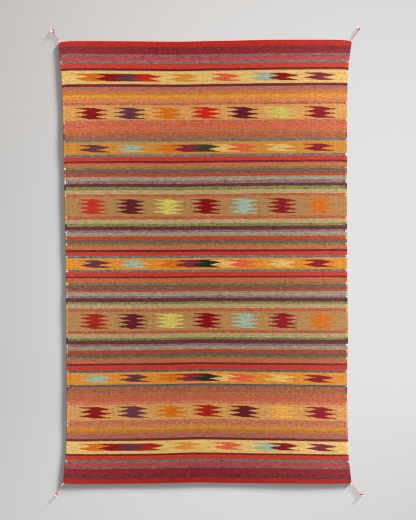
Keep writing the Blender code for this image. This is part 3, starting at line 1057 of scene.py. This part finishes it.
def make_stripe_group():
    """From metres down the cloth, the stripe's yarn, its accent, and its shares of beads and heather."""
    tree, given = new_group(
        "Stripes", {"Down": NUMBER},
        {"Yarn": COLOUR, "Accent": COLOUR, "Turn": COLOUR, "Beads": NUMBER, "Heather": NUMBER})
    readers = {
        "Yarn": lambda stripe: shaded(stripe.yarn.colour, stripe.shade),
        "Accent": lambda stripe: shaded(stripe.yarn.accent, stripe.shade),
        "Turn": lambda stripe: shaded(stripe.yarn.turn, stripe.shade),
        "Shares": lambda stripe: (stripe.yarn.beads, stripe.yarn.heather, 0.0, 1.0),
    }
    chosen = {}
    for section in range(SECTIONS):
        place = calc("MULTIPLY_ADD", given["Down"], 1 / SECTION_LENGTH, -section)
        reached = given["Down"] > section * SECTION_LENGTH
        for name, reader in readers.items():
            ramp = stripe_ramp(place, section, reader)
            chosen[name] = mix(reached, chosen[name], ramp) if section else ramp
    shares = add_node(tree, "ShaderNodeSeparateColor", {0: chosen.pop("Shares")})
    return finished_group(tree, {**chosen, "Beads": shares[0], "Heather": shares[1]})


stripe_group = make_stripe_group()

# %% [markdown]
# ## The lozenges as a node group
#
# A mask painted for each lozenge would be an image. The rule for a lozenge becomes a few sums instead. The
# place across slides left and right with the height in the row, and a bar is wherever the slid place is
# near the bar's middle. A small slant trims the first and last tips to the thin slivers that they are in
# the cloth.

# %% Build the lozenge group
def band_middle(number):
    """The middle of the tallest stripe of a band, counted from 0, in metres down the cloth."""
    band = [stripe for stripe in stripes if stripe.band == number]
    tallest = max(band, key=lambda stripe: stripe.end - stripe.start)
    return (tallest.start + tallest.end) / 2


def warps_per_mm_at(y):
    """How many warps there are to a millimetre in the middle of the cloth, at a height in metres."""
    step = 10
    return (warp_at(step * MM, y) - warp_at(-step * MM, y)) / (2 * step)


def row_shift(height, motif):
    """How far a row's bars are slid at a height in it, from -1 at the left tips to 1 at the right ones."""
    half_teeth = 2.0 * motif.teeth - 1
    half_tooth = (motif.height - 2 * motif.tip) / half_teeth
    steps = calc("DIVIDE", height - motif.tip, half_tooth)
    steps = calc("MINIMUM", calc("MAXIMUM", steps, 0.0), half_teeth)
    return calc("PINGPONG", steps, 1.0) * 2.0 - 1.0


def make_lozenge_group():
    """From a place in warps across and metres down, the ground's colour with the lozenges laid on it."""
    tree, given = new_group(
        "Serrated lozenges", {"Across": NUMBER, "Down": NUMBER, "Ground": COLOUR}, {"Colour": COLOUR})
    across, colour = given["Across"], given["Ground"]
    for row in ROWS:
        motif = row.motif
        middle_down = band_middle(row.band) + row.lift * MM
        height = calc("MULTIPLY_ADD", given["Down"], 1 / MM, motif.height / 2 - middle_down / MM)
        room_below = motif.height - height
        y = HALF_LENGTH - middle_down
        warps_per_mm = warps_per_mm_at(y)
        slid = across - row_shift(height, motif) * (motif.reach * warps_per_mm)
        next_places = [place for place, _ in row.lozenges[1:]] + [math.inf]
        for (place, name), next_place in zip(row.lozenges, next_places):
            under_next = UNDER_NEXT if next_place - place < TOUCHING else 0.0
            middle = warp_at(place * MM, y)
            half = (motif.width / 2 + under_next) * warps_per_mm
            bar = calc("COMPARE", slid, middle + under_next * warps_per_mm, half)
            slant = (across - middle) * (motif.slant / warps_per_mm)
            trimmed = calc("MINIMUM", height + slant, room_below - slant)
            colour = mix(bar * (trimmed > 0.0), colour, LOZENGE_YARNS[name])
    return finished_group(tree, {"Colour": colour})


lozenge_group = make_lozenge_group()

# %% [markdown]
# ## Wool
#
# Wool yarn is matt and a little hairy, and no two spans of it took the dye alike. One colour all over would
# look like paint. One group gives every wool here its mottled colour and its fibres. It reads Object
# coordinates, so it works on any mesh.

# %% Build the wool group
PATCH_SCALE, PATCH_SHARE = 260.0, 0.8
FIBRE_SCALE, FIBRE_SHARE = 2600.0, 0.6
MOTTLE_MIDDLE = 0.7


def make_wool_group():
    """A mottled colour and the height of fine fibres."""
    tree, given = new_group(
        "Wool fibre", {"Colour": COLOUR, "Mottle": NUMBER}, {"Colour": COLOUR, "Fibres": NUMBER})
    place = add_node(tree, "ShaderNodeTexCoord", output="Object")
    patches, fibres = noise(place, PATCH_SCALE, 3.0), noise(place, FIBRE_SCALE, 2.0)
    change = (fibres * FIBRE_SHARE + patches * PATCH_SHARE - MOTTLE_MIDDLE) * given["Mottle"]
    return finished_group(tree, {"Colour": lit(given["Colour"], change + 1.0), "Fibres": fibres})


wool_group = make_wool_group()

# %% Define materials of wool
SPECULAR = 0.08
SHEEN_ROUGHNESS = 0.6


def new_material(name, roughness, sheen):
    """A material with its own tree and its shader."""
    made = bpy.data.materials.new(name)
    made.use_nodes = True
    shader = made.node_tree.nodes["Principled BSDF"]
    fill(shader, {"Roughness": roughness, "Specular IOR Level": SPECULAR,
                  "Sheen Weight": sheen, "Sheen Roughness": SHEEN_ROUGHNESS})
    return made, made.node_tree, shader


def wear(shader, wool, height, strength, depth):
    """Gives a shader the colour of a wool, and a bump with the height's shape and a depth in mm."""
    sockets = {"Height": height, "Strength": strength, "Distance": depth * MM}
    bump = add_node(wool.tree, "ShaderNodeBump", sockets)
    fill(shader, {"Base Color": wool["Colour"], "Normal": bump})


def plain_wool(name, colour, mottle=0.5):
    """Wool of one dye."""
    made, tree, shader = new_material(name, roughness=0.92, sheen=0.12)
    wool = use_group(tree, wool_group, {"Colour": colour, "Mottle": mottle})
    wear(shader, wool, wool["Fibres"], strength=0.7, depth=0.25)
    return made


end_wool = plain_wool("Vermilion end wool", dyed(210, 34, 14))
red_wool = plain_wool("Red tassel wool", dyed(204, 44, 38))
# The knot's red is a lighter copy of the tassel's red: painted light that offsets the knot's own shade.
knot_wool_painted_light = plain_wool("Knot wool with painted light", dyed(230, 44, 22))
white_wool = plain_wool("White tassel wool", dyed(252, 247, 240), mottle=0.3)
print("plain wools ready")

# %% [markdown]
# ## The woven material
#
# The cloth is made of the yarns above, and a picture of it would fix one size and one light. So this puts
# the groups together as a loom does. The weave says which warp and pick a place is on. The stripes give the
# pick's yarn, and beads or heather let the accent through on some warps. The lozenges are laid over that.
# Then each pick gets its own shade, streaks and relief, and painted shade darkens the hollows between the
# beads and the groove by the edge warps. Painted side light makes the blanket darkest a little left of its
# middle and lighter towards its sides, where a painted sheen pales it.

# %% Make the woven wool
TURNS_PER_PICK = 0.33
TURN_ON_TOP = 0.47
PATCHES_PER_WARP, PATCHES_PER_PICK = 0.3, 0.22
STREAKS_PER_WARP, STREAKS_PER_PICK = 0.22, 0.28
CARDED_CHANCE, CARDED_PATCHES = 0.5, 1.5
MISSED_BEADS = 0.12
OUTERMOST = 0.9
STREAK = 0.34
STREAK_CONTRAST = 2.0
PICK_SHADE = 0.22
PICK_SEED = 3.0
BEAD_SHADE = 0.5
PAINTED_HOLLOW_SHADE = 0.78
PAINTED_CROWN_LIGHT = 0.35
FIBRES_IN_RELIEF = 0.25
WOVEN_MOTTLE = 0.25
PAINTED_GROOVE_SHADE = 0.94
GROOVE_REACH = 0.35
# Painted side light and painted sheen across the cloth.
DARKEST_ACROSS = 0.43
LEAST_PAINTED_SIDE_LIGHT = 0.93
PAINTED_SIDE_LIGHT = 0.62
PAINTED_SIDE_LIGHT_TO_THE_RIGHT = 0.2
PAINTED_SHEEN_PALING = 0.05


def varied(value, amount):
    """A factor round 1 from a number from 0 to 1."""
    return calc("MULTIPLY_ADD", value, amount, 1.0 - amount / 2)


def woven_ground(weave, striped, chance, on_top, to_side):
    """The cloth's colours without the lozenges: yarn and accent, and the outermost warps' turns."""
    patches = noise_at(weave["Warp"] * PATCHES_PER_WARP, weave["Pick"] * PATCHES_PER_PICK, detail=3.0)
    carded = (chance * CARDED_CHANCE + patches * CARDED_PATCHES > 1.0) * striped["Heather"]
    beaded = weave["Odd"] * striped["Beads"] * (chance > MISSED_BEADS)
    ground = mix(calc("MAXIMUM", carded, beaded), striped["Yarn"], striped["Accent"])
    return mix((to_side > WARPS / 2 - OUTERMOST) * on_top, ground, striped["Turn"])


def woven_material(name, turning):
    """The cloth's wool, or with turning set, the wool of the weft's turns along the sides."""
    made, tree, shader = new_material(name, roughness=0.95, sheen=0.05)
    place = add_node(tree, "ShaderNodeUVMap", uv_map="weave")
    shares = add_node(tree, "ShaderNodeSeparateXYZ", {0: place})
    across = shares[0] * float(WARPS)
    to_side = calc("ABSOLUTE", across - WARPS / 2)
    weave = use_group(tree, weave_group, {"Across": across, "Down": shares[1] * float(PICKS)})
    pick_down = weave["Pick"] * (CLOTH_LENGTH / PICKS)
    striped = use_group(tree, stripe_group, {"Down": pick_down})
    chance = random_at(weave["Warp"], weave["Pick"])
    on_top = noise_at(weave["Pick"], 0.0, TURNS_PER_PICK) > TURN_ON_TOP
    if turning:
        ground = mix(on_top, striped["Yarn"], striped["Turn"])
    else:
        ground = woven_ground(weave, striped, chance, on_top, to_side)
    sockets = {"Across": weave["Warp"] + 0.5, "Down": pick_down, "Ground": ground}
    laid = use_group(tree, lozenge_group, sockets)
    streaks = noise_at(across * STREAKS_PER_WARP, weave["Pick"] * STREAKS_PER_PICK, detail=3.0)
    shade = varied((streaks - 0.5) * STREAK_CONTRAST + 0.5, STREAK)
    shade = shade * varied(random_at(weave["Pick"], PICK_SEED), PICK_SHADE) * varied(chance, BEAD_SHADE)
    if not turning:
        # Painted shade: the colour is darkened in the groove between the doubled edge warps and the rest.
        groove_shade_mask = calc("COMPARE", to_side, WARPS / 2 - EDGE_WARPS, GROOVE_REACH)
        shade = shade * (groove_shade_mask * (PAINTED_GROOVE_SHADE - 1.0) + 1.0)
    # Painted shade: the colour is darkened in the hollows between the beads and kept light on their crowns.
    shade = shade * calc("MINIMUM", weave["Relief"] * PAINTED_CROWN_LIGHT + PAINTED_HOLLOW_SHADE, 1.0)
    # Painted side light: the colour is lightest at the sides, more so at the right, and darkest a little left
    # of the middle.
    from_darkest = shares[0] - DARKEST_ACROSS
    painted_side_light_share = from_darkest * from_darkest
    shade = shade * (painted_side_light_share * (shares[0] * PAINTED_SIDE_LIGHT_TO_THE_RIGHT + PAINTED_SIDE_LIGHT) + LEAST_PAINTED_SIDE_LIGHT)
    # Painted sheen: towards the sides the colour is mixed a little towards white.
    toned = mix(painted_side_light_share * PAINTED_SHEEN_PALING, lit(laid["Colour"], shade), WHITE)
    wool = use_group(tree, wool_group, {"Colour": toned, "Mottle": WOVEN_MOTTLE})
    height = wool["Fibres"] * FIBRES_IN_RELIEF + weave["Relief"]
    wear(shader, wool, height, strength=0.8, depth=0.35)
    return made


woven_wool = woven_material("Woven wool", turning=False)
turned_wool = woven_material("Turned weft wool", turning=True)
print("woven wool:", len(woven_wool.node_tree.nodes), "nodes")

# %% Dress the cloth, its turns and its end cords
def dress(piece, *wools):
    """Gives a piece its materials, in place of any that it has."""
    piece.data.materials.clear()
    for wool in wools:
        piece.data.materials.append(wool)


dress(cloth, woven_wool)
for turn in turns.values():
    dress(turn, turned_wool)
for cord in end_cords.values():
    dress(cord, end_wool)
print("dressed:", cloth.name, *[piece.name for piece in (*turns.values(), *end_cords.values())])

# %% Twist, knot and fray the tassels
def make_ply(line, wool, radius, angle, white_root):
    """One ply of a tassel's cord. Near the cloth it is white, as far along as the white root reaches."""
    ply = as_mesh(add_curve(f"ply_{wool.name}", [helix(line, PLY_OFFSET, PLY_TWIST, angle)], radius, sides=2))
    dress(ply, wool, white_wool)
    start = Vector(line[0])
    root = Vector(line[np.argmin(np.abs(distances_along(line) - white_root * MM))])
    for face in ply.data.polygons:
        near = WHITE_FROM < (start - face.center).length < (start - root).length
        face.material_index = 1 if near else 0
    return ply


def joined(name, parts):
    """The parts as one mesh object with all their materials."""
    bpy.ops.object.select_all(action="DESELECT")
    for part in parts:
        part.select_set(True)
    bpy.context.view_layer.objects.active = parts[0]
    bpy.ops.object.join()
    made = bpy.context.object
    made.name = name
    made.data.name = name
    return made


def make_tassel(place, row, dice):
    """One tassel as a joined mesh: two plies, a knot and the locks of fibres."""
    line = tassel_line(row)
    plies = ((red_wool, RED_PLY_RADIUS, 0.0), (white_wool, WHITE_PLY_RADIUS, math.pi))
    parts = [make_ply(line, wool, radius, angle, row.white_root) for wool, radius, angle in plies]
    heading = math.atan2(line[-1][1] - line[-4][1], line[-1][0] - line[-4][0])
    knot = as_mesh(add_curve("knot", [knot_line(row, heading)], KNOT_YARN_RADIUS, sides=2, cyclic=True))
    dress(knot, knot_wool_painted_light)
    parts.append(knot)
    for tip, colour in zip(row.tips, row.colours):
        wool, fullness = (white_wool, WHITE_FULLNESS) if colour == "white" else (red_wool, 1.0)
        middle = [core_line(row, tip, fullness)]
        core = as_mesh(add_curve("core", middle, fullness * MM, sides=2, radii=CORE_RADII))
        lock = as_mesh(add_curve("lock", lock_lines(row, tip, fullness, dice), FIBRE_RADIUS, sides=0))
        dress(core, wool)
        dress(lock, wool)
        parts += [core, lock]
    return joined(f"tassel_{place}", parts)


dice = random.Random(7)
tassels = {place: make_tassel(place, row, dice) for place, row in TASSELS.items()}
for tassel in tassels.values():
    print(tassel.name, len(tassel.data.polygons), "faces")

# %% [markdown]
# ## The floor and the light
#
# The blanket lies on pale studio paper. Painted light is in the paper's colour: painted shade makes it a
# little darker at its ends and at the left, and a painted warm light makes it warmer at the upper left. A
# grey plane under a lamp would be brightest under the lamp, so the light's falloff is painted into the
# paper's colour. The even light on the wool comes from a soft sky and a broad sun. Two low suns light the
# paper alone and draw the narrow shadow along the left and lower edges. A low light on the wool too would
# make every rib cast a shadow. Most of the low light passes the thin tassels by, so their shadows are faint.

# %% Lay the floor
# The paper's grading below is painted light: painted shade and a painted warm light in its colour.
FLOOR_SIZE = 16.0
FLOOR_GREY = 0.847
GRADED_ACROSS = 0.85
GRADED_ALONG = 1.0
LEVELLING = 0.15
PAINTED_LIGHT_RISE_TO_THE_RIGHT = 0.22
PAINTED_LIGHT_RISE_CHANGE = -0.06
EVEN_LOW_END = {"From Min": -0.80, "From Max": -0.42, "To Min": 0.35}
PAINTED_FALLOFF_ACROSS = 0.18
PAINTED_FALLOFF_ALONG = 0.112
PAINTED_WARMTH_PER_METRE = 1.6
PAINTED_WARMTH_FROM = 0.6
PAINTED_WARM_LIGHT_TINT = (1.035, 0.99, 0.955, 1.0)


def levelled(value, reach):
    """A coordinate that stops changing beyond its reach, so that the paper keeps one grey from there on."""
    below = calc("SMOOTH_MIN", value, reach, LEVELLING)
    return calc("SMOOTH_MAX", below, -reach, LEVELLING)


bpy.ops.mesh.primitive_plane_add(size=FLOOR_SIZE)
floor = bpy.context.object
floor.name = "floor"
paper_with_painted_light, tree, shader = new_material("Paper with painted light", roughness=0.9, sheen=0.0)
place = add_node(tree, "ShaderNodeTexCoord", output="Object")
parts = add_node(tree, "ShaderNodeSeparateXYZ", {0: place})
x, y = levelled(parts[0], GRADED_ACROSS), levelled(parts[1], GRADED_ALONG)
low_end = add_node(tree, "ShaderNodeMapRange", {"Value": y, **EVEN_LOW_END})
slope = (y * y * PAINTED_LIGHT_RISE_CHANGE + PAINTED_LIGHT_RISE_TO_THE_RIGHT) * low_end
# Painted shade and light: the paper's grey is lighter to the right and darker towards its ends and the left.
grey = (x * slope + 1.0 - x * x * PAINTED_FALLOFF_ACROSS - y * y * PAINTED_FALLOFF_ALONG) * FLOOR_GREY
# Painted warm light: the paper's colour is warmer at the upper left.
painted_warm_light = add_node(tree, "ShaderNodeClamp", {0: y * PAINTED_WARMTH_PER_METRE - PAINTED_WARMTH_FROM - x})
fill(shader, {"Base Color": lit(mix(painted_warm_light, WHITE, PAINTED_WARM_LIGHT_TINT), grey)})
dress(floor, paper_with_painted_light)
print("floor of", FLOOR_SIZE, "m")

# %% Hang the lights
TOWARDS_LIGHT = math.atan2(0.75, 0.66)

# Elevations and angles are in degrees. A sun's angle is how broad it looks.
Sun = namedtuple("Sun", "strength elevation angle")
KEY_SUN = Sun(2.9, 52, 14)
LOW_SUN = Sun(11.85, 5.75, 4.7)
FAINT_SUN = Sun(3.98, 8.0, 7.0)
SUN_DISTANCE = 4
SKY_STRENGTH = 0.30


def add_sun(name, row, receivers, blockers=None):
    """A sun from the upper right that lights only its receivers, and is stopped only by its blockers."""
    elevation = math.radians(row.elevation)
    towards = Vector((math.cos(TOWARDS_LIGHT) * math.cos(elevation),
                      math.sin(TOWARDS_LIGHT) * math.cos(elevation), math.sin(elevation)))
    bpy.ops.object.light_add(type="SUN", location=towards * SUN_DISTANCE)
    sun = bpy.context.object
    sun.name = name
    sun.rotation_euler = (-towards).to_track_quat("-Z", "Y").to_euler()
    sun.data.energy = row.strength
    sun.data.angle = math.radians(row.angle)
    sun.light_linking.receiver_collection = gathered(name + "_lights", receivers)
    if blockers:
        sun.light_linking.blocker_collection = gathered(name + "_is_stopped_by", blockers)
    return sun


def gathered(name, members):
    """A collection of some objects."""
    made = bpy.data.collections.new(name)
    for member in members:
        made.objects.link(member)
    return made


flat_pieces = [cloth, *turns.values(), *end_cords.values()]
key = add_sun("key", KEY_SUN, [*flat_pieces, *tassels.values()])
low = add_sun("low", LOW_SUN, [floor], flat_pieces)
faint = add_sun("faint", FAINT_SUN, [floor])

world = bpy.data.worlds.new("sky")
bpy.context.scene.world = world
world.use_nodes = True
fill(world.node_tree.nodes["Background"], {"Color": WHITE, "Strength": SKY_STRENGTH})
print("lights:", key.name, low.name, faint.name)

# %% [markdown]
# ## Tell the frame what each piece is
#
# Every piece rides on the blanket's one body. The cloth, the end cords and the tassels each take the place
# of a solid. The weft's turns are extra pieces of the cloth, so they take the place of none.

trims = [*turns.values(), *end_cords.values(), *tassels.values()]
for piece in (cloth, *trims):
    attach(piece, "root")
for place, cord in end_cords.items():
    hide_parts(f"end_cord_{place}")
for place, tassel in tassels.items():
    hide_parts(f"corner_tassel_{place}")
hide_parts("blanket_cloth")
